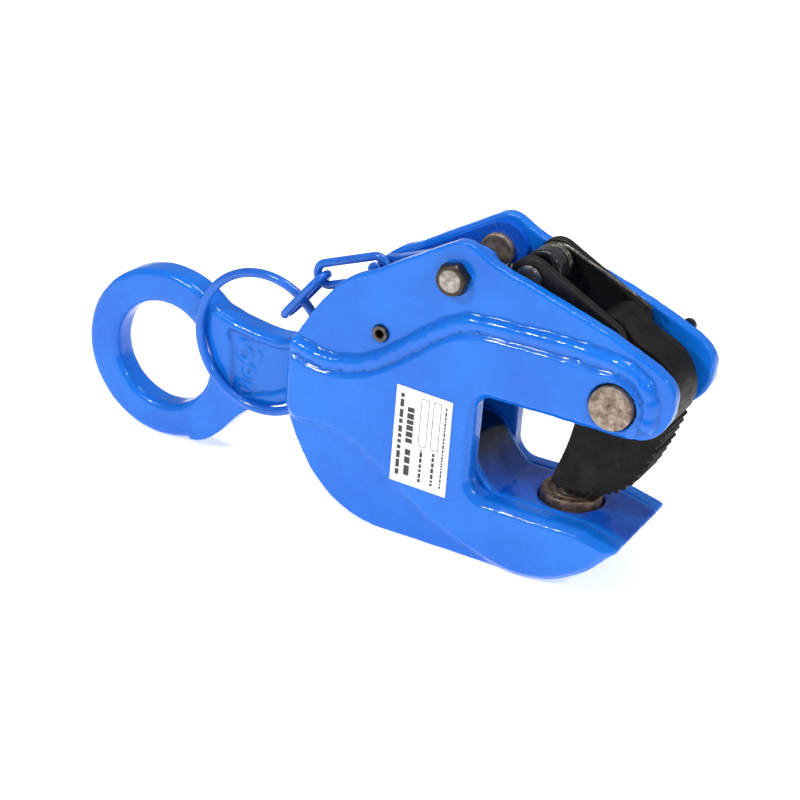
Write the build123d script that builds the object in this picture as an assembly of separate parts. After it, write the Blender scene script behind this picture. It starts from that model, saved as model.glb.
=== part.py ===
from build123d import *
import os
from math import cos, sin, radians, pi, hypot, atan2

os.makedirs("parts", exist_ok=True)

# ---- driving dimensions, millimetres -------------------------------------------------
# Drawn with x from the centre of the shackle eye towards the jaw mouth, y across the clamp
# and z up from the flat the clamp stands on. Everything is lowered by EYE_Z when written,
# which puts the origin at the centre of the eye.
EYE_Z = 53.5          # eye centre above the resting flat
EYE_R = 53.5          # outside of the eye
EYE_HOLE_R = 32.5     # hole of the eye
SHANK_T = 19.0        # thickness of the shackle
HOLE_ROUND = 5.0      # rounding of the eye hole's rims
TONGUE_END_T = 12.0   # thickness of the shackle tongue between the links
GAP = 24.0            # half the space between the side plates
PLATE_T = 8.0         # side plate
CHEEK_T = 5.0         # raised cheek
DOUBLER_T = 3.5       # inner doubler
RUN = 0.05            # radial running clearance
PIN_X, PIN_Z, PIN_R = 298.4, 117.6, 12.5      # cam pin
BOLT_X, BOLT_Z, BOLT_R = 199.6, 163.6, 5.0    # lock lever bolt
GUIDE_X, GUIDE_Z, GUIDE_R = 157.5, 119.3, 4.5  # spring guide pin
E_X, E_Z, E_R = 237.5, 169.5, 5.0             # shackle end of the links
A_X, A_Z, A_R = 283.7, 145.6, 5.5             # cam end of the links
TRAVEL = 20.1         # slide of the shackle
CAM_T = 28.0          # cam thickness
TOOTH_PITCH = 5.2
TOOTH_DEPTH = 2.2
PAD_X, PAD_R, PAD_TOP = 268.0, 17.6, 45.0
JAW_Z = 40.2          # upper face of the fixed jaw
LINK_Y0, LINK_Y1, LINK_R = 15.0, 21.0, 11.5
LUG_X, LUG_Z, LUG_R = 141.0, 147.0, 2.5       # chain pin of the lock lever
WIRE = 2.5            # radius of chain and ring wire
CHAIN_Y = -9.4        # plane of the chain link on the lever
LINK_B_Y = -11.3      # middle of the second link
RING_Y = -13.2        # plane of the pull ring
RING_R = 42.5         # mean radius of the pull ring

OUT = GAP + PLATE_T
FACE = OUT + CHEEK_T


# ---- helpers -------------------------------------------------------------------------
def face_of(*segs):
    edges = []
    for kind, pts in segs:
        if kind == "L":
            edges.append(Polyline(*pts))
        elif kind == "S":
            edges.append(Spline(*pts))
        else:
            edges.append(ThreePointArc(*pts))
    return make_face(Curve() + edges)


def slab(face, y0, y1):
    pl = Plane(origin=(0, y1, 0), x_dir=(1, 0, 0), z_dir=(0, -1, 0))
    return extrude(pl * face, amount=y1 - y0)


def cyl(x, z, r, y0, y1):
    return Pos(x, (y0 + y1) / 2, z) * Rot(90, 0, 0) * Cylinder(r, y1 - y0)


def bar(p, q, r, y0, y1):
    dx, dz = q[0] - p[0], q[1] - p[1]
    n = hypot(dx, dz)
    ox, oz = -dz / n * r, dx / n * r
    f = make_face(Polyline((p[0] + ox, p[1] + oz), (q[0] + ox, q[1] + oz), (q[0] - ox, q[1] - oz),
                           (p[0] - ox, p[1] - oz), (p[0] + ox, p[1] + oz)))
    return slab(f, y0, y1) + cyl(p[0], p[1], r, y0, y1) + cyl(q[0], q[1], r, y0, y1)


def rim(part, y, tol=1e-3):
    return part.edges().filter_by(lambda e: all(abs(v.Y - y) < tol for v in e.vertices()) and abs(e.center().Y - y) < tol)


def soften(part, edges, *radii):
    for cut in (fillet, chamfer):
        for r in radii:
            try:
                out = cut(edges, r)
                if out.is_valid and 0 < out.volume < part.volume * 1.001 and len(out.solids()) == 1:
                    return out
            except Exception:
                pass
    print("left sharp", len(edges), round(edges[0].center().X), round(edges[0].center().Y), round(edges[0].center().Z))
    return part


def one(part):
    s = part.solids()
    return s[0] if len(s) == 1 else max(s, key=lambda k: k.volume)


nodes = {}


def add(name, part):
    n = len(part.solids())
    if n != 1:
        print("solids", name, n)
    nodes[name] = one(part)


def wire_along(pts, r):
    path = Spline(*pts)
    pl = Plane(origin=path @ 0, z_dir=path % 0)
    return sweep(pl * Circle(r), path=path)


# ---- outlines ------------------------------------------------------------------------
JAW_BOTTOM = [(250, 0), (262, 0.7), (274.8, 3.8), (286.4, 9.6), (297.0, 17.8), (303.6, 25.0), (309.0, 30.6), (311.0, 33.2), (310.4, 35.2)]
SLOT = [(310.4, 35.2), (290.0, JAW_Z), (232.0, JAW_Z)]
SLOT_LL = [(232.0, JAW_Z), (223.5, 43.7), (220.0, 52.2)]
SLOT_L = [(220.0, 52.2), (220.0, 92.5)]
SLOT_UL = [(220.0, 92.5), (222.3, 98.1), (228.0, 100.5)]
SLOT_T = [(228.0, 100.5), (309.8, 100.5)]
TIP = [(309.8, 100.5), (315.4, 101.3), (320.6, 104.0), (325.6, 108.8), (329.4, 115.7), (330.9, 123.0), (330.6, 130.0), (327.6, 136.2), (322.0, 141.2), (314.8, 144.9)]
TOP = [(314.8, 144.9), (297.0, 152.3), (279.5, 158.6), (262.0, 164.0), (244.4, 169.4), (221.3, 176.5), (210.5, 182.2)]
CORNER = [(210.5, 182.2), (203.5, 184.4), (196.0, 182.6)]
BACK = [(196.0, 182.6), (178.9, 172.2), (158.5, 159.6), (148.0, 153.2), (138.6, 148.6), (130.2, 142.4), (124.0, 135.0), (118.0, 127.2),
        (112.4, 118.5), (106.8, 108.9), (102.4, 100.4), (100.6, 90.0), (100.0, 78.0), (100.2, 66.0), (101.8, 55.6), (105.0, 47.0),
        (110.2, 36.6), (117.0, 25.8), (125.0, 16.8), (134.0, 9.8), (144.0, 4.6), (156.0, 1.0), (166.0, 0.0)]
BASE = [(166.0, 0.0), (250.0, 0.0)]


def plate_face():
    return face_of(("S", JAW_BOTTOM), ("L", SLOT), ("A", SLOT_LL), ("L", SLOT_L), ("A", SLOT_UL), ("L", SLOT_T), ("S", TIP),
                   ("S", TOP), ("A", CORNER), ("S", BACK), ("L", BASE))


def side(sign):
    y0, y1 = sorted((sign * GAP, sign * OUT))
    p = slab(plate_face(), y0, y1)
    p -= cyl(PIN_X, PIN_Z, PIN_R, y0 - 1, y1 + 1)
    p -= cyl(BOLT_X, BOLT_Z, BOLT_R, y0 - 1, y1 + 1)
    p -= cyl(GUIDE_X, GUIDE_Z, GUIDE_R, y0 - 1, y1 + 1)
    if sign > 0:
        p -= cyl(310.4, 143.8, 1.6, OUT - 5, OUT + 1)
    return p


CHEEK_TOP = [(101.2, 96.0), (109.5, 94.1), (120.2, 91.9), (133.2, 91.8), (148.4, 95.6), (160.5, 102.1), (172.3, 110.4), (183.8, 119.8),
             (195.2, 129.0), (206.6, 135.4), (218.5, 138.2), (242.3, 139.3), (265.6, 139.3), (288.7, 138.2)]
CHEEK_TIP = [(288.7, 138.2), (303.0, 136.6), (312.0, 129.0), (315.6, 119.5), (314.0, 109.0), (309.8, 100.5)]
CHEEK_LOW = [(101.2, 96.0), (100.3, 88.0), (100.0, 78.0), (100.2, 66.0), (102.2, 57.0), (107.4, 52.8), (120.0, 52.8), (131.0, 52.6), (143.0, 49.5),
             (156.6, 43.0), (170.3, 34.0), (184.0, 24.5), (200.8, 15.4), (216.0, 9.0), (232.0, 4.0), (250.0, 0.6)]


def cheek(sign):
    y0, y1 = sorted((sign * OUT, sign * FACE))
    low = CHEEK_LOW[:-1] + [(250.0, 0.0)]
    f = face_of(("S", JAW_BOTTOM), ("L", SLOT), ("A", SLOT_LL), ("L", SLOT_L), ("A", SLOT_UL), ("L", SLOT_T),
                ("S", CHEEK_TIP[::-1]), ("S", CHEEK_TOP[::-1]), ("S", low))
    p = slab(f, y0, y1)
    p = soften(p, rim(p, sign * FACE), 4.0, 3.0, 2.0, 1.0)
    return p - cyl(PIN_X, PIN_Z, PIN_R + 0.8, y0 - 1, y1 + 1)


add("front_side_plate", side(-1))
add("rear_side_plate", side(1))
add("front_cheek_plate", cheek(-1))
add("rear_cheek_plate", cheek(1))

# ---- jaw block between the plates, with the seat of the swivel pad ---------------------
JB_TOP = [(232.0, JAW_Z), (224.6, 46.4), (218.6, 54.8), (212.5, 63.2), (203.0, 66.0), (176.0, 60.0), (150.0, 50.0), (126.0, 38.0), (115.0, 28.8)]
JB_BACK = [(115.0, 28.8), (117.0, 25.8), (125.0, 16.8), (134.0, 9.8), (144.0, 4.6), (156.0, 1.0), (166.0, 0.0)]
f = face_of(("S", JAW_BOTTOM), ("L", SLOT), ("S", JB_TOP), ("S", JB_BACK), ("L", BASE))
jb = slab(f, -GAP, GAP)
jb -= Pos(PAD_X, 0, (30 + 60) / 2) * Cylinder(PAD_R + 0.9, 30)
jb -= Pos(PAD_X, 0, 17) * Cylinder(8.0 + RUN, 40)
jb -= Pos(PAD_X, 0, 5) * Cylinder(12.0, 12)
add("jaw_block", jb)

# ---- inner doublers, guide blocks -------------------------------------------------------
DB = [(121.0, 124.0), (128.0, 134.0), (141.0, 145.4), (160.0, 156.6), (180.0, 169.0), (196.0, 178.4)]
DB_END = [(196.0, 178.4), (210.6, 177.4), (216.5, 165.0)]
DB_LOW = [(216.5, 165.0), (213.0, 150.0), (202.0, 136.0), (180.0, 118.0), (158.0, 104.0), (140.0, 99.0), (124.0, 104.0)]


def doubler(sign):
    y0, y1 = sorted((sign * (GAP - DOUBLER_T), sign * GAP))
    f = face_of(("S", DB), ("A", DB_END), ("S", DB_LOW), ("L", [(124.0, 104.0), (121.0, 124.0)]))
    return slab(f, y0, y1) - cyl(BOLT_X, BOLT_Z, BOLT_R, y0 - 1, y1 + 1) - cyl(GUIDE_X, GUIDE_Z, GUIDE_R, y0 - 1, y1 + 1)


def guide_block(sign):
    y0, y1 = sorted((sign * (SHANK_T / 2 + 0.5), sign * (GAP - DOUBLER_T)))
    f = face_of(("L", [(130.0, 104.0), (158.0, 107.0), (196.0, 133.0), (190.0, 142.0), (158.0, 134.0), (130.0, 124.0), (130.0, 104.0)]))
    b = slab(f, y0, y1)
    b = soften(b, b.edges().filter_by(Axis.Y), 3.0, 2.0)
    return b - cyl(GUIDE_X, GUIDE_Z, GUIDE_R, y0 - 1, y1 + 1)


add("front_inner_doubler", doubler(-1))
add("rear_inner_doubler", doubler(1))
add("front_guide_block", guide_block(-1))
add("rear_guide_block", guide_block(1))

# ---- pins, bolt, nut, small fixings ------------------------------------------------------
cp = cyl(PIN_X, PIN_Z, PIN_R, -40, 40)
cp = soften(cp, cp.edges().filter_by(GeomType.CIRCLE), 1.2, 0.8)
add("cam_pin", cp)

hexa = slab(Pos(BOLT_X, BOLT_Z) * Rot(0, 0, 14) * RegularPolygon(9.8, 6), -OUT - 7.2, -OUT)
crown = Pos(BOLT_X, -OUT - 3.6, BOLT_Z) * Rot(90, 0, 0) * Cone(12.4, 8.3, 7.2)
add("lock_bolt", (hexa & crown) + cyl(BOLT_X, BOLT_Z, BOLT_R, -OUT, 5.0))
nut = slab(Pos(BOLT_X, BOLT_Z) * RegularPolygon(7.4, 6), 1.9, 4.6)
add("lock_nut", nut - cyl(BOLT_X, BOLT_Z, BOLT_R, 1, 6))
stud = cyl(BOLT_X, BOLT_Z, 10.0, 16.6, GAP - DOUBLER_T)
stud = soften(stud, rim(stud, 16.6), 0.9) + cyl(BOLT_X, BOLT_Z, BOLT_R, GAP - DOUBLER_T, OUT + 7.6)
add("rear_stud", stud)
nut = slab(Pos(BOLT_X, BOLT_Z) * RegularPolygon(9.4, 6), OUT, OUT + 6.0)
add("rear_stud_nut", nut - cyl(BOLT_X, BOLT_Z, BOLT_R, OUT - 1, OUT + 7))
add("bolt_spacer", cyl(BOLT_X, BOLT_Z, 8.0, -GAP + DOUBLER_T, -13.0) - cyl(BOLT_X, BOLT_Z, BOLT_R, -22, -12))
gp = cyl(GUIDE_X, GUIDE_Z, GUIDE_R, -OUT - 1.6, OUT + 1.6) - cyl(GUIDE_X, GUIDE_Z, 2.7, -40, 40)
add("guide_pin", gp)
scr = cyl(310.4, 143.8, 4.0, OUT, OUT + 3.4)
scr = soften(scr, rim(scr, OUT + 3.4), 1.0) + cyl(310.4, 143.8, 1.6, OUT - 5, OUT)
add("pin_lock_screw", scr)
add("name_plate", slab(face_of(("L", [(173.2, 36.6), (208.3, 35.6), (207.7, 93.6), (173.2, 95.2), (173.2, 36.6)])), -FACE - 0.8, -FACE))

# ---- lifting shackle ----------------------------------------------------------------------
NECK_TOP = [(4.0, 106.2), (16.0, 102.6), (30.0, 95.6), (46.0, 89.8), (62.0, 86.8), (78.0, 86.0), (92.0, 89.6), (107.0, 100.6), (122.0, 117.0),
            (136.0, 129.6), (152.0, 134.6), (172.0, 139.6), (192.0, 146.6), (204.0, 151.6)]
NOTCH = [(204.0, 151.6), (204.8, 148.6), (213.6, 150.0), (214.6, 157.8), (222.0, 166.0), (228.4, 176.0)]
END = [(228.4, 176.0), (243.0, 179.0), (245.4, 161.8)]
NECK_LOW = [(245.4, 161.8), (232.0, 152.0), (212.0, 138.0), (192.0, 125.0), (170.0, 111.0), (150.0, 99.0), (130.0, 84.6), (110.0, 66.0), (98.0, 55.0),
            (86.0, 45.6), (78.0, 41.8), (66.0, 36.6), (56.0, 30.0), (46.0, 18.6), (36.0, 8.4), (20.0, 3.0)]
f = face_of(("S", NECK_TOP), ("L", NOTCH), ("A", END), ("S", NECK_LOW), ("L", [(20.0, 3.0), (0.0, EYE_Z), (4.0, 106.2)]))
f = f + Pos(0, EYE_Z) * Circle(EYE_R) - Pos(0, EYE_Z) * Circle(EYE_HOLE_R)
sh = one(slab(f, -SHANK_T / 2, SHANK_T / 2))
sh = soften(sh, sh.edges().filter_by(lambda e: e.geom_type == GeomType.CIRCLE and abs(e.radius - EYE_HOLE_R) < 0.01), HOLE_ROUND)
for yy in (-SHANK_T / 2, SHANK_T / 2):
    es = rim(sh, yy).filter_by(lambda e: e.center().X < 120 and not (e.geom_type == GeomType.CIRCLE and e.radius < EYE_R - 1))
    sh = soften(sh, es, 4.0, 3.0, 2.0)
for y0, y1 in ((TONGUE_END_T / 2, 20), (-20, -TONGUE_END_T / 2)):
    sh -= slab(face_of(("L", [(214.5, 100), (214.5, 200), (262, 200), (262, 100), (214.5, 100)])), y0, y1)
WEB = [(44.0, 83.5), (47.5, 72.0), (48.5, 60.0), (48.0, 50.0), (51.0, 42.0), (58.0, 42.6), (68.0, 46.4), (79.0, 50.4), (90.0, 57.0), (98.0, 64.0), (100.0, 80.0),
       (92.0, 82.6), (80.0, 80.0), (64.0, 80.6), (54.0, 82.6), (44.0, 83.5)]
web = make_face(Polyline(*WEB))
web = fillet(web.vertices(), 2.0)
sh -= slab(web, SHANK_T / 2 - 2.2, 20)
sh -= slab(web, -20, -SHANK_T / 2 + 2.2)
# slot for the guide pin, open hole for the links' pin
sh -= bar((GUIDE_X - TRAVEL - 0.6, GUIDE_Z), (GUIDE_X + 0.6, GUIDE_Z), GUIDE_R + 0.5, -20, 20)
sh -= bar((E_X - 0.17, E_Z - 0.1), (E_X - 0.17, E_Z + 2.0), E_R + 0.6, -20, 20)
add("lifting_shackle", sh)

# ---- cam --------------------------------------------------------------------------------------
POLAR = [(-20, 28.0), (-35, 30.0), (-50, 33.5), (-65, 41.0), (-78, 52.0), (-88, 60.0), (-95, 64.4), (-105, 70.4), (-113, 74.8), (-119, 77.6)]


def radius_at(a):
    for (a0, r0), (a1, r1) in zip(POLAR, POLAR[1:]):
        if a1 <= a <= a0:
            t = (a - a0) / (a1 - a0)
            return r0 + (r1 - r0) * t
    return POLAR[-1][1]


crest = []
a = -20.0
while a >= -119.0:
    crest.append((PIN_X + radius_at(a) * cos(radians(a)), PIN_Z + radius_at(a) * sin(radians(a))))
    a -= 0.5
teeth, acc, k = [crest[0]], 0.0, 0
for p, q in zip(crest, crest[1:]):
    acc += hypot(q[0] - p[0], q[1] - p[1])
    if acc >= TOOTH_PITCH / 2:
        acc -= TOOTH_PITCH / 2
        k += 1
        if k % 2:
            dx, dz = PIN_X - q[0], PIN_Z - q[1]
            tx, tz = q[0] - p[0], q[1] - p[1]
            n = hypot(tx, tz)
            nx, nz = -tz / n, tx / n
            if nx * dx + nz * dz < 0:
                nx, nz = -nx, -nz
            teeth.append((q[0] + nx * TOOTH_DEPTH + tx / n * 0.9, q[1] + nz * TOOTH_DEPTH + tz / n * 0.9))
        else:
            teeth.append(q)
flank = [teeth[-1], (260.2, 53.6), (262.2, 60.6), (265.4, 71.0), (269.0, 86.0), (270.6, 100.0), (270.8, 116.0), (270.4, 132.0), (271.6, 142.0)]
cam_curve = [("L", teeth), ("L", [teeth[-1], flank[1]]), ("S", flank[1:])]
arm = [(271.6, 142.0), (272.9, 151.5), (280.0, 157.2)]
back = [(280.0, 157.2), (288.0, 157.0), (296.0, 150.4), (304.6, 145.2), (313.6, 141.4), (321.4, 134.0), (325.8, 124.5), (326.4, 114.6)]
cam_curve += [("A", arm), ("S", back), ("L", [back[-1], teeth[0]])]
cam = slab(face_of(*cam_curve), -CAM_T / 2, CAM_T / 2)
cam -= cyl(PIN_X, PIN_Z, 16.0, -20, 20)
cam -= cyl(A_X, A_Z, A_R + RUN, -20, 20)
add("cam_segment", cam)
add("cam_bush", cyl(PIN_X, PIN_Z, 16.0, -15.5, 15.5) - cyl(PIN_X, PIN_Z, PIN_R + RUN, -20, 20))
for s, n in ((-1, "front_cam_washer"), (1, "rear_cam_washer")):
    y0, y1 = sorted((s * 16.0, s * GAP))
    add(n, cyl(PIN_X, PIN_Z, 19.0, y0, y1) - cyl(PIN_X, PIN_Z, PIN_R, y0 - 1, y1 + 1))

# ---- links and their pins ------------------------------------------------------------------------
for s, n in ((-1, "front_link"), (1, "rear_link")):
    y0, y1 = sorted((s * LINK_Y0, s * LINK_Y1))
    b = bar((E_X, E_Z), (A_X, A_Z), LINK_R, y0, y1)
    b = one(b)
    b = soften(b, rim(b, y0) + rim(b, y1), 0.8, 0.5)
    add(n, b - cyl(E_X, E_Z, E_R, -30, 30) - cyl(A_X, A_Z, A_R, -30, 30))
for x, z, r, n in ((E_X, E_Z, E_R, "shackle_pin"), (A_X, A_Z, A_R, "link_pin")):
    add(n, cyl(x, z, r, -22.8, 21.0) + cyl(x, z, r + 3.0, 21.0, 22.8))
    add(n + "_clip", cyl(x, z, r + 2.6, -22.4, -21.0) - cyl(x, z, r, -24, -20))

# ---- lock lever --------------------------------------------------------------------------------------
lev = slab(face_of(("L", [(199.6, 172.0), (186.0, 169.6), (165.0, 160.6), (150.0, 154.4), (142.0, 152.6), (137.0, 148.0), (139.0, 143.0), (146.0, 141.8),
                          (158.0, 145.6), (176.0, 151.0), (190.0, 156.0), (199.6, 155.4), (206.8, 156.8), (211.2, 154.9), (213.0, 158.4), (211.0, 164.0), (206.0, 170.0), (199.6, 172.0)])), -4.6, 1.4)
lev = soften(lev, lev.edges().filter_by(Axis.Y), 1.2, 0.8)
lev = lev + cyl(BOLT_X, BOLT_Z, 7.4, -6.6, 1.6) - cyl(BOLT_X, BOLT_Z, BOLT_R + RUN, -20, 20)
lev = lev + cyl(LUG_X, LUG_Z, LUG_R, -13.0, 0.0) + cyl(LUG_X, LUG_Z, 4.2, -14.4, -12.5)
add("lock_lever", lev)

# ---- chain and pull ring ---------------------------------------------------------------------------


def chain_link(length, width, r):
    m = width / 2 - r
    s = length / 2 - r - m
    arms = Pos(0, m, 0) * Rot(0, 90, 0) * Cylinder(r, 2 * s) + Pos(0, -m, 0) * Rot(0, 90, 0) * Cylinder(r, 2 * s)
    c1 = revolve(Pos(s, 0, 0) * Plane.XZ.rotated((0, 0, 0)) * Pos(m, 0) * Circle(r), axis=Axis((s, 0, 0), (0, 0, 1)), revolution_arc=360)
    c2 = Pos(-2 * s, 0, 0) * c1
    c1 = c1 & (Pos(s + 50, 0, 0) * Box(100, 100, 20))
    c2 = c2 & (Pos(-s - 50, 0, 0) * Box(100, 100, 20))
    return one(arms + c1 + c2)


def place_link(p, q, normal, part):
    # p, q: where the link's two end wires bear, as (x, y, z)
    mid = Vector((p[0] + q[0]) / 2, (p[1] + q[1]) / 2, (p[2] + q[2]) / 2)
    d = Vector(q[0] - p[0], q[1] - p[1], q[2] - p[2])
    return Plane(origin=mid, x_dir=d, z_dir=normal).location * part


SLACK = 1.0           # play of one wire in another's loop
A0 = (LUG_X, CHAIN_Y, LUG_Z)
A1 = (109.0, CHAIN_Y, 134.4)
B1 = (86.0, CHAIN_Y, 104.7)


def ends(p, q, grow):
    n = hypot(q[0] - p[0], q[2] - p[2])
    ux, uz = (q[0] - p[0]) / n, (q[2] - p[2]) / n
    return (p[0] - ux * grow, p[1], p[2] - uz * grow), (q[0] + ux * grow, q[1], q[2] + uz * grow), n


# link a lies in the clamp's own plane round the lever's pin; link b is turned a quarter
p, q, n = ends(A0, A1, 0.0)
la = place_link(p, q, (0, 1, 0), chain_link(n + 2 * (LUG_R + SLACK + 2 * WIRE), 18.0, WIRE))
add("chain_link_a", la)
ux, uz = (B1[0] - A1[0]), (B1[2] - A1[2])
n2 = hypot(ux, uz)
ux, uz = ux / n2, uz / n2
p, q, n = (A1[0], LINK_B_Y, A1[2]), (B1[0], LINK_B_Y, B1[2]), n2
lb = place_link(p, q, (-uz, 0, ux), chain_link(n + 2 * WIRE, 20.0, WIRE))
add("chain_link_b", lb)
# where the ring's wire passes through link b
rx, rz = B1[0] - ux * 16.0, B1[2] - uz * 16.0
RING_DIR = (-0.58, -0.8146)
cx, cz = rx + RING_DIR[0] * RING_R, rz + RING_DIR[1] * RING_R
ring = Pos(cx, RING_Y, cz) * Rot(90, 0, 0) * Torus(RING_R, WIRE)
add("pull_ring", ring)
print("ring centre", cx, cz, "crossing", rx, rz, "link b", A1, B1)

# ---- swivel pad -------------------------------------------------------------------------------------
pad = Pos(PAD_X, 0, (31.0 + PAD_TOP) / 2) * Cylinder(PAD_R, PAD_TOP - 31.0)
pad = soften(pad, pad.edges().filter_by(lambda e: e.geom_type == GeomType.CIRCLE and abs(e.center().Z - PAD_TOP) < 0.01), 1.6)
for r0, r1 in ((3.0, 4.6), (7.4, 9.0), (11.8, 13.4)):
    pad -= Pos(PAD_X, 0, PAD_TOP) * (Cylinder(r1, 2.4) - Cylinder(r0, 2.4))
pad += Pos(PAD_X, 0, 22.5) * Cylinder(8.0, 19.0)
pad -= Pos(PAD_X, 0, 22.5) * Cylinder(4.0, 21.0)
add("swivel_pad", pad)
add("pad_screw", Pos(PAD_X, 0, 21.0) * Cylinder(4.0, 22.0) + Pos(PAD_X, 0, 7.4) * Cylinder(10.0, 5.2))

# ---- springs --------------------------------------------------------------------------------------------
ys = -10.75
bx, bz, ex, ez = BOLT_X, BOLT_Z, E_X, E_Z
L = hypot(ex - bx, ez - bz)
ux, uz = (ex - bx) / L, (ez - bz) / L
vx, vz = -uz, ux
HR = 6.4
pts = []
for i in range(13):
    a = radians(320 - 280 * i / 12)
    pts.append((bx + HR * (cos(a) * ux + sin(a) * vx), ys, bz + HR * (cos(a) * uz + sin(a) * vz)))
turns, cr = 7, 2.9
x0, x1 = 9.6, L - 9.6
N = turns * 10
for i in range(N + 1):
    w = 2 * pi * i / 10 + pi / 2
    s_ = x0 + (x1 - x0) * i / N
    pts.append((bx + ux * s_ + vx * cr * sin(w), ys + cr * cos(w), bz + uz * s_ + vz * cr * sin(w)))
for i in range(13):
    a = radians(40 + 280 * i / 12)
    pts.append((ex + HR * (-cos(a) * ux + sin(a) * vx), ys, ez + HR * (-cos(a) * uz + sin(a) * vz)))
try:
    add("tension_spring", wire_along(pts, 0.8))
except Exception as err:
    print("tension spring:", err)

tr, tw = 9.2, 1.2
pts = []
for i in range(0, 33):
    a = radians(200 - 26.0 * i)
    yv = 7.9 + 2.45 * (26.0 * i) / 360.0
    pts.append((E_X + tr * cos(a), yv, E_Z + tr * sin(a)))
ye = pts[-1][1]
pts += [(254.0, ye, 173.6), (262.0, ye, 170.6), (272.0, ye, 166.6), (281.0, ye, 162.6), (289.0, ye, 159.0), (295.0, ye, 155.6)]
try:
    add("torsion_spring", wire_along(pts, tw))
except Exception as err:
    print("torsion spring:", err)

# ---- write -------------------------------------------------------------------------------------------------
for old in os.listdir("parts"):
    if old.endswith(".step") and old[:-5] not in nodes:
        os.remove(os.path.join("parts", old))
for name, part in nodes.items():
    export_step(Location((0, 0, -EYE_Z)) * part, f"parts/{name}.step")
print(len(nodes), "nodes")
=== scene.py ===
import bpy, bmesh, math, random
from mathutils import Vector, Matrix
from mathutils import noise as mnoise


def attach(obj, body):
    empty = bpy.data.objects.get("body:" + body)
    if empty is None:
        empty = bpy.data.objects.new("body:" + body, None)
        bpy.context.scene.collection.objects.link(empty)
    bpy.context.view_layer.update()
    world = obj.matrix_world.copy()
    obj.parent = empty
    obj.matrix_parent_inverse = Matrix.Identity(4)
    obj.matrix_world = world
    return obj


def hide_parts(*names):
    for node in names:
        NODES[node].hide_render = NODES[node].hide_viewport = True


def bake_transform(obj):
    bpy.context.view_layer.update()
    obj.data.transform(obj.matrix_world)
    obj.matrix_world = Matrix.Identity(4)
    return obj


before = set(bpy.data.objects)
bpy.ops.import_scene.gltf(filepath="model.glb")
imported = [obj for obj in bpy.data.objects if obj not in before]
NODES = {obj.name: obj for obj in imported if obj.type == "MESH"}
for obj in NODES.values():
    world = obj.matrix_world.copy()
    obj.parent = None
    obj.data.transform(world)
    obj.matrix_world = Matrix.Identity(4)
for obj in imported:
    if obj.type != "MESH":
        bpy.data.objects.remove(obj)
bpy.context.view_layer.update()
EYE_Z = 0.0535                     # eye centre above the resting flat
random.seed(7)


def R(x, y, z):
    """millimetres, z above the resting flat, to the row frame in metres"""
    return Vector((x / 1000, y / 1000, z / 1000 - EYE_Z))


# ------------------------------------------------------------------ materials
def new_mat(name):
    m = bpy.data.materials.new(name)
    m.use_nodes = True
    nt = m.node_tree
    for n in list(nt.nodes):
        nt.nodes.remove(n)
    out = nt.nodes.new("ShaderNodeOutputMaterial")
    b = nt.nodes.new("ShaderNodeBsdfPrincipled")
    nt.links.new(b.outputs[0], out.inputs[0])
    tc = nt.nodes.new("ShaderNodeTexCoord")
    return m, nt, b, tc.outputs["Object"]


def noise(nt, vec, scale, detail=4.0, rough=0.5, distort=0.0):
    n = nt.nodes.new("ShaderNodeTexNoise")
    n.inputs["Scale"].default_value = scale
    n.inputs["Detail"].default_value = detail
    n.inputs["Roughness"].default_value = rough
    n.inputs["Distortion"].default_value = distort
    nt.links.new(vec, n.inputs["Vector"])
    return n.outputs["Fac"]


def ramp(nt, fac, stops):
    r = nt.nodes.new("ShaderNodeValToRGB")
    el = r.color_ramp.elements
    while len(el) < len(stops):
        el.new(0.5)
    for e, (p, c) in zip(el, stops):
        e.position = p
        e.color = (*c, 1) if len(c) == 3 else c
    nt.links.new(fac, r.inputs[0])
    return r.outputs[0]


def mix(nt, fac, a, b, mode="MIX"):
    m = nt.nodes.new("ShaderNodeMix")
    m.data_type = "RGBA"
    m.blend_type = mode
    for s, v in ((m.inputs[0], fac), (m.inputs[6], a), (m.inputs[7], b)):
        if isinstance(v, (int, float)):
            s.default_value = v
        elif isinstance(v, tuple):
            s.default_value = (*v, 1)
        else:
            nt.links.new(v, s)
    return m.outputs[2]


def maprange(nt, v, a0, a1, b0, b1):
    m = nt.nodes.new("ShaderNodeMapRange")
    for i, x in zip((1, 2, 3, 4), (a0, a1, b0, b1)):
        m.inputs[i].default_value = x
    nt.links.new(v, m.inputs[0])
    return m.outputs[0]


def bump(nt, b, h, strength, dist, prev=None):
    n = nt.nodes.new("ShaderNodeBump")
    n.inputs["Strength"].default_value = strength
    n.inputs["Distance"].default_value = dist
    nt.links.new(h, n.inputs["Height"])
    if prev:
        nt.links.new(prev, n.inputs["Normal"])
    nt.links.new(n.outputs[0], b.inputs["Normal"])
    return n.outputs[0]


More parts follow.
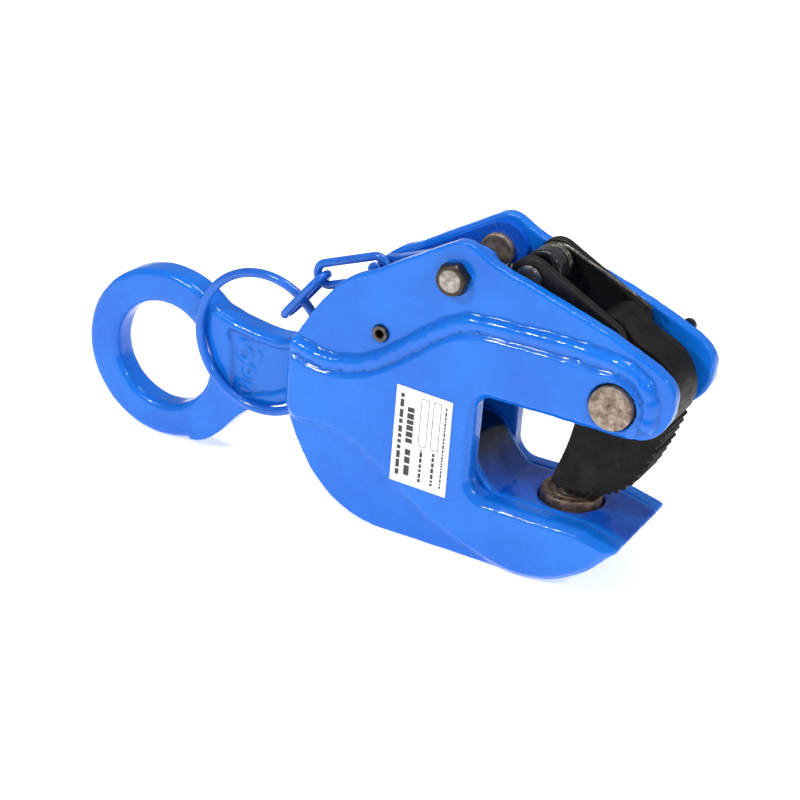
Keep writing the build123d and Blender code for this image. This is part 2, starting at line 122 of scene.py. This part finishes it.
def paint(name, base, dark, chips=True, rough=(0.20, 0.34), inside=None):
    m, nt, b, v = new_mat(name)
    big = noise(nt, v, 22, 3, 0.55)
    col = ramp(nt, big, [(0.30, dark), (0.62, base)])
    # faint runs and thin spots in the enamel
    fine = noise(nt, v, 160, 5, 0.6, 0.3)
    col = mix(nt, maprange(nt, fine, 0.52, 0.8, 0.0, 0.35), col, tuple(min(1, c * 1.25 + 0.004) for c in base))
    if chips:
        g = nt.nodes.new("ShaderNodeNewGeometry")
        speck = noise(nt, v, 520, 2, 0.5)
        edge = maprange(nt, g.outputs["Pointiness"], 0.56, 0.66, 0.0, 0.6)
        sp = maprange(nt, speck, 0.60, 0.66, 0.0, 1.0)
        mm = nt.nodes.new("ShaderNodeMath"); mm.operation = "MULTIPLY"
        nt.links.new(edge, mm.inputs[0]); nt.links.new(sp, mm.inputs[1])
        col = mix(nt, mm.outputs[0], col, (0.10, 0.16, 0.30))
        dirt = noise(nt, v, 900, 2, 0.5)
        col = mix(nt, maprange(nt, dirt, 0.74, 0.78, 0.0, 0.55), col, (0.01, 0.05, 0.22))
    corner_shade_geo = nt.nodes.new("ShaderNodeNewGeometry")
    col = mix(nt, maprange(nt, corner_shade_geo.outputs["Pointiness"], 0.455, 0.494, 0.7, 0.0), col, tuple(c * 0.30 for c in dark))   # painted shade: the concave corners are darkened towards a third of the dark tone
    if inside:
        # painted shade: faces inside the cavity between the plates are darkened, and towards the back of the throat
        # they go nearly black
        sp = nt.nodes.new("ShaderNodeSeparateXYZ"); nt.links.new(v, sp.inputs[0])
        ab = nt.nodes.new("ShaderNodeMath"); ab.operation = "ABSOLUTE"; nt.links.new(sp.outputs[1], ab.inputs[0])
        depth = maprange(nt, ab.outputs[0], inside[1] - 0.0012, inside[1] + 0.0012, 1.0, 0.0)
        back = maprange(nt, sp.outputs[0], inside[0] - 0.012, inside[0] + 0.003, 1.0, 0.0)
        # outer faces of the jaw block look down or back, so they are left out of the painted shade
        gn = nt.nodes.new("ShaderNodeNewGeometry")
        dt = nt.nodes.new("ShaderNodeVectorMath"); dt.operation = "DOT_PRODUCT"
        nt.links.new(gn.outputs["Normal"], dt.inputs[0]); dt.inputs[1].default_value = (0.6, 0.0, 0.8)
        keep = nt.nodes.new("ShaderNodeMath"); keep.operation = "MULTIPLY"
        nt.links.new(depth, keep.inputs[0]); nt.links.new(maprange(nt, dt.outputs["Value"], -0.5, -0.15, 0.0, 1.0), keep.inputs[1])
        depth = keep.outputs[0]
        k = nt.nodes.new("ShaderNodeMath"); k.operation = "MULTIPLY"
        nt.links.new(depth, k.inputs[0]); nt.links.new(back, k.inputs[1])
        throat_shade = ramp(nt, noise(nt, v, 90, 4, 0.6), [(0.35, (0.0015, 0.004, 0.016)), (0.7, (0.003, 0.018, 0.085))])
        shade = ramp(nt, noise(nt, v, 70, 4, 0.6), [(0.35, (0.002, 0.060, 0.42)), (0.7, (0.004, 0.105, 0.56))])
        col = mix(nt, depth, col, shade)
        col = mix(nt, k.outputs[0], col, throat_shade)
    nt.links.new(col, b.inputs["Base Color"])
    nt.links.new(maprange(nt, noise(nt, v, 60, 4, 0.6), 0.3, 0.7, rough[0], rough[1]), b.inputs["Roughness"])
    b.inputs["Coat Weight"].default_value = 0.46
    b.inputs["Coat Roughness"].default_value = 0.04
    b.inputs["Specular IOR Level"].default_value = 0.15
    b.inputs["IOR"].default_value = 1.5
    p = bump(nt, b, noise(nt, v, 95, 3, 0.5), 0.18, 0.0010)
    p = bump(nt, b, noise(nt, v, 620, 3, 0.55), 0.16, 0.00022, p)
    nt.links.new(p, b.inputs["Coat Normal"])
    return m


def metal(name, stops, scale=260, rough=(0.3, 0.55), metallic=0.9, bs=0.25, bd=0.00025, rings=None, stain=None, spec=0.5):
    m, nt, b, v = new_mat(name)
    n1 = noise(nt, v, scale, 5, 0.62, 0.4)
    col = ramp(nt, n1, stops)
    if stain:
        col = mix(nt, maprange(nt, noise(nt, v, 48, 4, 0.6), 0.48, 0.66, 0.0, stain[1]), col, stain[0])
    nt.links.new(col, b.inputs["Base Color"])
    b.inputs["Metallic"].default_value = metallic
    b.inputs["Specular IOR Level"].default_value = spec
    nt.links.new(maprange(nt, noise(nt, v, scale * 1.7, 4, 0.6), 0.3, 0.7, rough[0], rough[1]), b.inputs["Roughness"])
    p = bump(nt, b, n1, bs, bd)
    bump(nt, b, noise(nt, v, 1800, 2, 0.5), 0.12, 0.0001, p)
    return m


BLUE = paint("blue_enamel", (0.004, 0.150, 0.655), (0.003, 0.120, 0.58), inside=(0.228, 0.0205))
# painted shade: a darker copy of the blue enamel for the doublers and guide blocks between the plates
BLUE_SHADED = paint("blue_enamel_shaded", (0.004, 0.085, 0.55), (0.002, 0.04, 0.32), rough=(0.25, 0.45))
BLUE_WIRE = paint("blue_enamel_wire", (0.014, 0.14, 0.62), (0.008, 0.085, 0.42))
PIN = metal("pin_steel", [(0.30, (0.085, 0.055, 0.040)), (0.48, (0.24, 0.18, 0.14)), (0.62, (0.34, 0.28, 0.23)), (0.8, (0.50, 0.44, 0.38))], 230, (0.34, 0.62), 0.7)
BOLT = metal("bolt_end_steel", [(0.30, (0.26, 0.22, 0.19)), (0.55, (0.52, 0.48, 0.44)), (0.75, (0.70, 0.67, 0.63))], 320, (0.28, 0.5), 0.85)
BOLTH = metal("bolt_head_steel", [(0.30, (0.16, 0.13, 0.11)), (0.52, (0.34, 0.30, 0.27)), (0.75, (0.56, 0.52, 0.47))], 300, (0.30, 0.52), 0.8)
nt_ = BOLTH.node_tree
b_ = next(n for n in nt_.nodes if n.type == "BSDF_PRINCIPLED")
g_ = nt_.nodes.new("ShaderNodeNewGeometry")
sp_ = nt_.nodes.new("ShaderNodeSeparateXYZ"); nt_.links.new(g_.outputs["True Normal"], sp_.inputs[0])
tc_ = next(n for n in nt_.nodes if n.type == "TEX_COORD")
ax_ = nt_.nodes.new("ShaderNodeVectorMath"); ax_.operation = "SUBTRACT"
nt_.links.new(tc_.outputs["Object"], ax_.inputs[0]); ax_.inputs[1].default_value = (0.1996, 0.0, 0.1101)
fl_ = nt_.nodes.new("ShaderNodeVectorMath"); fl_.operation = "MULTIPLY"
nt_.links.new(ax_.outputs[0], fl_.inputs[0]); fl_.inputs[1].default_value = (1.0, 0.0, 1.0)
ln_ = nt_.nodes.new("ShaderNodeVectorMath"); ln_.operation = "LENGTH"
nt_.links.new(fl_.outputs[0], ln_.inputs[0])
nt_.links.new(mix(nt_, maprange(nt_, ln_.outputs["Value"], 0.0058, 0.0067, 0.0, 1.0), b_.inputs["Base Color"].links[0].from_socket, (0.050, 0.038, 0.030)), b_.inputs["Base Color"])
# painted shade: faces whose true normal turns away from -y, the side walls of the head, go dark
nt_.links.new(mix(nt_, maprange(nt_, sp_.outputs[1], -0.92, -0.60, 0.0, 1.0), b_.inputs["Base Color"].links[0].from_socket, (0.045, 0.034, 0.028)), b_.inputs["Base Color"])
NUT = metal("nut_steel", [(0.30, (0.05, 0.045, 0.04)), (0.55, (0.15, 0.14, 0.13)), (0.78, (0.32, 0.30, 0.27))], 240, (0.32, 0.55), 0.8)
COLLAR = metal("collar_steel", [(0.28, (0.10, 0.07, 0.055)), (0.52, (0.26, 0.21, 0.17)), (0.75, (0.40, 0.34, 0.29))], 170, (0.35, 0.6), 0.7)
DARK = metal("oiled_steel", [(0.3, (0.018, 0.016, 0.015)), (0.6, (0.055, 0.050, 0.046)), (0.8, (0.12, 0.11, 0.10))], 210, (0.35, 0.55), 0.75)
BLACK = metal("black_oxide", [(0.3, (0.0035, 0.0035, 0.004)), (0.6, (0.008, 0.008, 0.0085)), (0.8, (0.020, 0.019, 0.018))], 190, (0.38, 0.60), 0.2, 0.3, 0.0003,
              stain=((0.026, 0.018, 0.012), 0.6), spec=0.14)
LINKM = metal("black_link", [(0.3, (0.002, 0.002, 0.0025)), (0.6, (0.005, 0.005, 0.0055)), (0.8, (0.014, 0.013, 0.012))], 210, (0.34, 0.55), 0.0, 0.3, 0.0003, spec=0.28)
TOOTH = metal("tooth_steel", [(0.3, (0.010, 0.010, 0.011)), (0.6, (0.030, 0.030, 0.031)), (0.8, (0.09, 0.085, 0.08))], 240, (0.34, 0.55), 0.5, 0.3, 0.0003,
              stain=((0.16, 0.14, 0.12), 0.35))
SPRING = metal("spring_wire", [(0.3, (0.035, 0.031, 0.028)), (0.55, (0.13, 0.12, 0.105)), (0.78, (0.36, 0.33, 0.30))], 330, (0.22, 0.4), 0.9)
PADM = metal("browned_pad", [(0.3, (0.060, 0.036, 0.024)), (0.55, (0.19, 0.13, 0.092)), (0.78, (0.36, 0.27, 0.20))], 260, (0.32, 0.55), 0.65,
             stain=((0.05, 0.03, 0.02), 0.5))
ROLLPIN = metal("roll_pin_steel", [(0.3, (0.03, 0.026, 0.022)), (0.6, (0.12, 0.10, 0.085)), (0.8, (0.42, 0.38, 0.34))], 300, (0.3, 0.5), 0.8)


def label_mat():
    m, nt, b, v = new_mat("label_vinyl")
    n = noise(nt, v, 55, 4, 0.5)
    col = ramp(nt, n, [(0.3, (0.80, 0.81, 0.83)), (0.7, (0.90, 0.90, 0.90))])
    col = mix(nt, maprange(nt, noise(nt, v, 700, 2, 0.5), 0.70, 0.76, 0, 0.5), col, (0.35, 0.38, 0.45))
    nt.links.new(col, b.inputs["Base Color"])
    nt.links.new(maprange(nt, noise(nt, v, 140, 3, 0.5), 0.3, 0.7, 0.32, 0.5), b.inputs["Roughness"])
    bump(nt, b, noise(nt, v, 420, 3, 0.5), 0.12, 0.00015)
    return m


LABEL = label_mat()


def ink_mat():
    m, nt, b, v = new_mat("label_ink")
    col = ramp(nt, noise(nt, v, 900, 3, 0.6), [(0.35, (0.012, 0.012, 0.014)), (0.75, (0.06, 0.06, 0.065))])
    nt.links.new(col, b.inputs["Base Color"])
    nt.links.new(maprange(nt, noise(nt, v, 300, 2, 0.5), 0.3, 0.7, 0.4, 0.6), b.inputs["Roughness"])
    bump(nt, b, noise(nt, v, 1500, 2, 0.5), 0.1, 0.00005)
    return m


INK = ink_mat()

ASSIGN = {
    "front_side_plate": BLUE, "rear_side_plate": BLUE, "front_cheek_plate": BLUE, "rear_cheek_plate": BLUE, "jaw_block": BLUE,
    "front_inner_doubler": BLUE_SHADED, "rear_inner_doubler": BLUE_SHADED, "front_guide_block": BLUE_SHADED, "rear_guide_block": BLUE_SHADED,
    "cam_pin": PIN, "lock_bolt": BOLTH, "lock_nut": NUT, "rear_stud": COLLAR, "rear_stud_nut": NUT, "bolt_spacer": DARK, "guide_pin": ROLLPIN, "pin_lock_screw": DARK,
    "name_plate": LABEL, "front_cam_washer": DARK, "rear_cam_washer": DARK, "lifting_shackle": BLUE, "cam_segment": BLACK, "cam_bush": DARK,
    "front_link": LINKM, "rear_link": LINKM, "shackle_pin": DARK, "shackle_pin_clip": SPRING, "link_pin": DARK, "link_pin_clip": SPRING,
    "lock_lever": BLUE_WIRE, "chain_link_a": BLUE_WIRE, "chain_link_b": BLUE_WIRE, "pull_ring": BLUE_WIRE, "swivel_pad": PADM, "pad_screw": DARK,
    "tension_spring": SPRING, "torsion_spring": SPRING,
}
for n, o in NODES.items():
    o.data.materials.clear()
    o.data.materials.append(ASSIGN[n])


# ------------------------------------------------------------------ mesh helpers
def smooth_shade(o, angle=None):
    for p in o.data.polygons:
        p.use_smooth = True


def mesh_from_nodes(name, nodes, extra=()):
    """one object holding copies of the nodes' meshes and of extra objects' meshes"""
    bm = bmesh.new()
    for n in nodes:
        bm.from_mesh(NODES[n].data)
    for o in extra:
        bm.from_mesh(o.data)
    me = bpy.data.meshes.new(name)
    bm.to_mesh(me)
    bm.free()
    o = bpy.data.objects.new(name, me)
    bpy.context.scene.collection.objects.link(o)
    for e in extra:
        bpy.data.objects.remove(e)
    return o


def apply_mods(o):
    dg = bpy.context.evaluated_depsgraph_get()
    me = bpy.data.meshes.new_from_object(o.evaluated_get(dg))
    o.modifiers.clear()
    o.data = me
    return o


def soften(o, voxel, loops, factor=0.5, remesh2=None):
    m = o.modifiers.new("vox", "REMESH")
    m.mode = "VOXEL"
    m.voxel_size = voxel
    m.use_smooth_shade = True
    s = o.modifiers.new("sm", "SMOOTH")
    s.factor = factor
    s.iterations = loops
    apply_mods(o)
    smooth_shade(o)
    return o


def tube(name, pts, r, seg=16):
    c = bpy.data.curves.new(name, "CURVE")
    c.dimensions = "3D"
    c.bevel_depth = r
    c.bevel_resolution = seg // 4
    c.use_fill_caps = True
    sp = c.splines.new("POLY")
    sp.points.add(len(pts) - 1)
    for p, q in zip(sp.points, pts):
        p.co = (*q, 1)
    tmp = bpy.data.objects.new(name, c)
    bpy.context.scene.collection.objects.link(tmp)
    bpy.context.view_layer.update()
    me = bpy.data.meshes.new_from_object(tmp.evaluated_get(bpy.context.evaluated_depsgraph_get()))
    bpy.data.objects.remove(tmp)
    o = bpy.data.objects.new(name, me)
    bpy.context.scene.collection.objects.link(o)
    return o


def catmull(pts, n=10):
    P = [Vector(p) for p in pts]
    P = [P[0] * 2 - P[1]] + P + [P[-1] * 2 - P[-2]]
    out = []
    for i in range(1, len(P) - 2):
        a, b, c, d = P[i - 1:i + 3]
        for k in range(n):
            t = k / n
            out.append(0.5 * ((2 * b) + (c - a) * t + (2 * a - 5 * b + 4 * c - d) * t * t + (3 * b - a - 3 * c + d) * t ** 3))
    out.append(P[-2])
    return out


# ------------------------------------------------------------------ painted body: plates, cheeks and weld bead as one thick coat
CHEEK_TOP = [(101.2, 96.0), (109.5, 94.1), (120.2, 91.9), (133.2, 91.8), (148.4, 95.6), (160.5, 102.1), (172.3, 110.4), (183.8, 119.8),
             (195.2, 129.0), (206.6, 135.4), (218.5, 138.2), (242.3, 139.3), (265.6, 139.3), (288.7, 138.2), (302.4, 136.4), (310.6, 130.6), (314.4, 122.6), (314.9, 114.5), (313.4, 108.5)]
LOW = [(103.8, 55.8), (109.0, 51.6), (120.0, 51.8), (131.0, 51.6), (143.0, 48.5), (156.6, 42.0), (170.3, 33.0), (184.0, 23.5), (200.8, 14.4), (216.0, 8.0), (230.0, 4.2)]


def weld_bead(sign, curve, half, rise, off, y):
    """a run of weld laid along a curve: an oval section that swells and thins slowly, with lumps where the run starts and stops"""
    pts = catmull([Vector((x, 0, z)) for x, z in curve], 10)
    n = len(pts)
    bm = bmesh.new()
    rings, seg = [], 18
    ph = 0.7 if sign < 0 else 2.1
    for i, p in enumerate(pts):
        a, b = pts[max(0, i - 1)], pts[min(n - 1, i + 1)]
        t = (b - a).normalized()
        nrm = Vector((-t.z, 0, t.x))
        u = i / (n - 1)
        lump = 0.22 * math.exp(-((u - 0.05) / 0.05) ** 2) + 0.16 * math.exp(-((u - 0.12) / 0.03) ** 2)
        for c, h, w_ in ((0.78, 0.20, 0.022), (0.845, 0.30, 0.020), (0.90, 0.16, 0.018), (0.955, 0.26, 0.020)):
            lump += h * math.exp(-((u - c) / w_) ** 2)
        f = 1 + 0.045 * math.sin(i * 0.55 + ph) + 0.03 * math.sin(i * 1.3 + ph * 2)
        hw = half * f * (1 + 0.35 * lump)
        hr = rise * f * (1 + lump)
        o = off + 0.25 * math.sin(i * 0.21 + ph)
        if i in (0, n - 1):
            hw *= 0.7; hr *= 0.7
        ring = []
        for k in range(seg):
            an = 2 * math.pi * k / seg
            q = p + nrm * (o + hw * math.cos(an))
            ring.append(bm.verts.new(R(q.x, sign * (y + hr * math.sin(an)), q.z)))
        rings.append(ring)
    for a, b in zip(rings, rings[1:]):
        for k in range(seg):
            bm.faces.new((a[k], a[(k + 1) % seg], b[(k + 1) % seg], b[k]))
    bm.faces.new(rings[0][::-1]); bm.faces.new(rings[-1])
    bmesh.ops.recalc_face_normals(bm, faces=bm.faces)
    me = bpy.data.meshes.new("bead"); bm.to_mesh(me); bm.free()
    o = bpy.data.objects.new("bead", me)
    bpy.context.scene.collection.objects.link(o)
    return o


def thick_enamel(o, amount):
    """enamel gathers unevenly on rounded edges and beads: a slow waviness there, none on the flats"""
    me = o.data
    nn = [v.normal.copy() for v in me.vertices]
    for v, n in zip(me.vertices, nn):
        w_ = 1 - min(1.0, abs(n.y)) ** 6
        if w_ > 0.02:
            h = mnoise.noise(v.co * 105) * 0.65 + mnoise.noise(v.co * 230 + Vector((7, 3, 1))) * 0.35
            v.co += n * (amount * w_ * h)


def painted_side(sign, names, label):
    t1 = weld_bead(sign, CHEEK_TOP, 4.6, 4.0, 3.0, 32.0)
    o = mesh_from_nodes(label, names, [t1])
    soften(o, 0.0009, 9, 0.5)
    thick_enamel(o, 0.00042)
    o.data.materials.clear()
    o.data.materials.append(BLUE)
    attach(o, "frame")
    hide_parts(*names)
    return o


painted_side(-1, ["front_side_plate", "front_cheek_plate"], "front_painted_side")
painted_side(1, ["rear_side_plate", "rear_cheek_plate"], "rear_painted_side")

jaw = mesh_from_nodes("painted_jaw_block", ["jaw_block"])
soften(jaw, 0.0010, 8, 0.5)
thick_enamel(jaw, 0.0003)
jaw.data.materials.clear(); jaw.data.materials.append(BLUE)
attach(jaw, "frame"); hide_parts("jaw_block")

def forged_marks():
    """plain raised rings and bars in the web pocket, unreadable"""
    out = []
    for sign in (-1, 1):
        y = sign * 7.3
        for cx, cz, r in ((57.0, 70.0, 4.2), (60.5, 59.5, 3.2)):
            out.append(tube("mark", [R(cx + r * math.cos(a), y, cz + r * math.sin(a)) for a in [2 * math.pi * k / 20 for k in range(21)]], 0.0013))
        for (x0, z0), (x1, z1) in (((52.5, 76.5), (60.0, 78.0)), ((54.0, 52.0), (63.0, 50.5)), ((56.5, 48.4), (64.0, 47.6)), ((66.0, 66.0), (67.0, 74.0))):
            out.append(tube("mark", [R(x0, y, z0), R((x0 + x1) / 2, y, (z0 + z1) / 2), R(x1, y, z1)], 0.0013))
    return out


def eye_root():
    """rounds the corner where the lower edge of the neck runs into the eye"""
    bm = bmesh.new()
    a = [bm.verts.new(R(x, -6.2, z)) for x, z in ((5.0, 0.35), (12.0, 1.35), (22.5, 3.55), (24.0, 12.0), (5.0, 12.0))]
    b = [bm.verts.new(R(x, 6.2, z)) for x, z in ((5.0, 0.35), (12.0, 1.35), (22.5, 3.55), (24.0, 12.0), (5.0, 12.0))]
    bm.faces.new(a); bm.faces.new(b[::-1])
    for k in range(5):
        bm.faces.new((a[k], b[k], b[(k + 1) % 5], a[(k + 1) % 5]))
    bmesh.ops.recalc_face_normals(bm, faces=bm.faces)
    me = bpy.data.meshes.new("root"); bm.to_mesh(me); bm.free()
    o = bpy.data.objects.new("root", me)
    bpy.context.scene.collection.objects.link(o)
    return o


sh = mesh_from_nodes("forged_shackle", ["lifting_shackle"], forged_marks() + [eye_root()])
soften(sh, 0.0009, 9, 0.5)
thick_enamel(sh, 0.00035)


def shackle_paint():
    """enamel on the eye and shank; the tongue that slides inside the body goes near black, painted shade for the dark
    cavity it sits in
    """
    m = paint("shackle_enamel", (0.004, 0.155, 0.665), (0.003, 0.108, 0.55))
    nt = m.node_tree
    b = next(n for n in nt.nodes if n.type == "BSDF_PRINCIPLED")
    tc = next(n for n in nt.nodes if n.type == "TEX_COORD")
    sp = nt.nodes.new("ShaderNodeSeparateXYZ")
    nt.links.new(tc.outputs["Object"], sp.inputs[0])
    add = nt.nodes.new("ShaderNodeMath"); add.operation = "MULTIPLY_ADD"
    nt.links.new(noise(nt, tc.outputs["Object"], 120, 4, 0.6), add.inputs[0])
    add.inputs[1].default_value = 0.02
    nt.links.new(sp.outputs[0], add.inputs[2])
    old = b.inputs["Base Color"].links[0].from_socket
    # painted shade: the tongue beyond about x = 145 mm goes near black
    tongue_shade = ramp(nt, noise(nt, tc.outputs["Object"], 240, 5, 0.6), [(0.35, (0.006, 0.008, 0.014)), (0.7, (0.028, 0.028, 0.034))])
    nt.links.new(mix(nt, maprange(nt, add.outputs[0], 0.138, 0.152, 0.0, 1.0), old, tongue_shade), b.inputs["Base Color"])
    return m


sh.data.materials.clear(); sh.data.materials.append(shackle_paint())
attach(sh, "shackle"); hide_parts("lifting_shackle")


# ------------------------------------------------------------------ machined and forged small parts with broken edges
def refine(node, name, voxel, loops, body, factor=0.5):
    o = mesh_from_nodes(name, [node])
    mat = NODES[node].data.materials[0]
    soften(o, voxel, loops, factor)
    o.data.materials.clear(); o.data.materials.append(mat)
    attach(o, body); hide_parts(node)
    return o


refine("cam_segment", "toothed_cam", 0.00055, 4, "cam")
refine("front_link", "front_link_forged", 0.0006, 5, "links")
refine("rear_link", "rear_link_forged", 0.0006, 5, "links")
refine("lock_bolt", "lock_bolt_head", 0.0004, 4, "frame")
refine("rear_stud", "rear_stud_worn", 0.0005, 4, "frame")
refine("cam_pin", "cam_pin_worn", 0.0006, 5, "frame")
refine("swivel_pad", "swivel_pad_turned", 0.00045, 3, "pad")
refine("lock_lever", "lock_lever_painted", 0.0005, 5, "lever")
refine("chain_link_a", "chain_link_a_painted", 0.0004, 4, "chain_a")
refine("chain_link_b", "chain_link_b_painted", 0.0004, 4, "chain_b")
ringo = refine("pull_ring", "pull_ring_painted", 0.00045, 4, "ring")
nrm_ = [v.normal.copy() for v in ringo.data.vertices]
for v, nn in zip(ringo.data.vertices, nrm_):
    v.co += nn * 0.00028

# springs: copies of the wound wire, left as modelled between the parts they join
for node, name, a, b_, p, q in (
    ("tension_spring", "tension_spring_wire", "frame", "shackle", R(206, -10.75, 164.6), R(230, -10.75, 168.4)),
    ("torsion_spring", "torsion_spring_wire", "cam", "links", R(292, 13, 157), R(250, 13, 174)),
):
    o = mesh_from_nodes(name, [node])
    bm2 = bmesh.new(); bm2.from_mesh(o.data)
    bmesh.ops.remove_doubles(bm2, verts=bm2.verts, dist=1e-6)
    bm2.to_mesh(o.data); bm2.free()
    smooth_shade(o)
    o.data.materials.clear(); o.data.materials.append(SPRING)
    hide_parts(node)
    if node == "torsion_spring":
        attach(o, "links")          # coil and leg stay with the links' pin; the leg lies over the round lug of the cam
    else:
        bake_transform(o)

# ------------------------------------------------------------------ printed bars on the label, plain and unreadable
bm = bmesh.new()


def block(x0, x1, z0, z1, y=-37.92, t=0.06):
    vs = [bm.verts.new(R(x, yy, z)) for yy in (y, y + t) for x, z in ((x0, z0), (x1, z0), (x1, z1), (x0, z1))]
    for f in ((0, 1, 2, 3), (7, 6, 5, 4), (0, 4, 5, 1), (1, 5, 6, 2), (2, 6, 7, 3), (3, 7, 4, 0)):
        bm.faces.new([vs[i] for i in f])


def bars(x0, x1, z0, z1, lo, hi, gap):
    z = z0
    while z < z1 - 0.4:
        w = random.uniform(lo, hi)
        block(x0, x1, z, min(z + w, z1))
        z += w + random.uniform(gap * 0.7, gap * 1.3)


def outline(x0, x1, z0, z1, w=0.28):
    block(x0, x1, z0, z0 + w); block(x0, x1, z1 - w, z1)
    block(x0, x0 + w, z0 + w, z1 - w); block(x1 - w, x1, z0 + w, z1 - w)


bars(176.2, 178.4, 41, 91, 2.0, 6.5, 1.3)
bars(181.4, 184.8, 42, 58, 3.5, 6.5, 1.5)
bars(181.0, 185.2, 62, 84, 2.5, 3.6, 0.9)
outline(189.0, 194.0, 62, 91); outline(196.6, 201.4, 62, 91)
bars(190.6, 192.2, 40, 60, 1.2, 3.2, 0.8)
bars(198.2, 199.8, 40, 60, 1.2, 3.2, 0.8)
bars(204.0, 205.0, 40, 90, 0.9, 2.6, 0.6)
me = bpy.data.meshes.new("label_print"); bm.to_mesh(me); bm.free()
lp = bpy.data.objects.new("label_print", me); bpy.context.scene.collection.objects.link(lp)
lp.data.materials.append(INK)
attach(lp, "frame")

# ------------------------------------------------------------------ CAD nodes that stay: shading only
for n, o in NODES.items():
    if not o.hide_render:
        for p in o.data.polygons:
            p.use_smooth = p.use_smooth

# ------------------------------------------------------------------ floor, lights, camera
bpy.ops.mesh.primitive_plane_add(size=12, location=(0.15, 0.0, -EYE_Z - 0.0003))
floor = bpy.context.object
floor.name = "floor"
m, nt, b, v = new_mat("floor_pale")
nt.links.new(ramp(nt, noise(nt, v, 3, 2, 0.5), [(0.3, (0.90, 0.90, 0.90)), (0.7, (0.93, 0.93, 0.93))]), b.inputs["Base Color"])
b.inputs["Roughness"].default_value = 0.7
b.inputs["Emission Color"].default_value = (1, 1, 1, 1)
b.inputs["Emission Strength"].default_value = 0.60
floor.data.materials.append(m)

w = bpy.data.worlds.new("studio")
bpy.context.scene.world = w
w.use_nodes = True
w.node_tree.nodes["Background"].inputs[0].default_value = (1, 1, 1, 1)
w.node_tree.nodes["Background"].inputs[1].default_value = 0.33


def area(name, loc, at, size, power, size_y=None):
    l = bpy.data.lights.new(name, "AREA")
    l.energy = power
    l.size = size
    if size_y:
        l.shape = "RECTANGLE"; l.size_y = size_y
    o = bpy.data.objects.new(name, l)
    bpy.context.scene.collection.objects.link(o)
    o.location = loc
    o.rotation_mode = "QUATERNION"
    o.rotation_quaternion = (Vector(at) - Vector(loc)).to_track_quat("-Z", "Y")


area("key", (-0.35, -1.05, 1.00), (0.18, 0, 0), 0.20, 11.0)
area("top", (0.25, 0.15, 1.20), (0.18, 0, 0), 0.42, 7.8)
area("side", (1.05, -0.45, 0.75), (0.25, 0, 0), 0.14, 4.6)

cam = bpy.data.cameras.new("camera")
cam.lens = 99.06
cam.sensor_width = 36.0
cam.clip_start, cam.clip_end = 0.05, 50
co = bpy.data.objects.new("camera", cam)
bpy.context.scene.collection.objects.link(co)
rt, up, fw = Vector((0.875885, 0.476261, 0.077490)), Vector((-0.266874, 0.344356, 0.900107)), Vector((-0.402006, 0.809066, -0.428712))
M = Matrix((rt, up, -fw)).transposed().to_4x4()
M.translation = Vector((0.662683, -1.017954, 0.605593 - EYE_Z))
co.matrix_world = M
bpy.context.scene.camera = co
bpy.context.scene.view_settings.view_transform = "Standard"
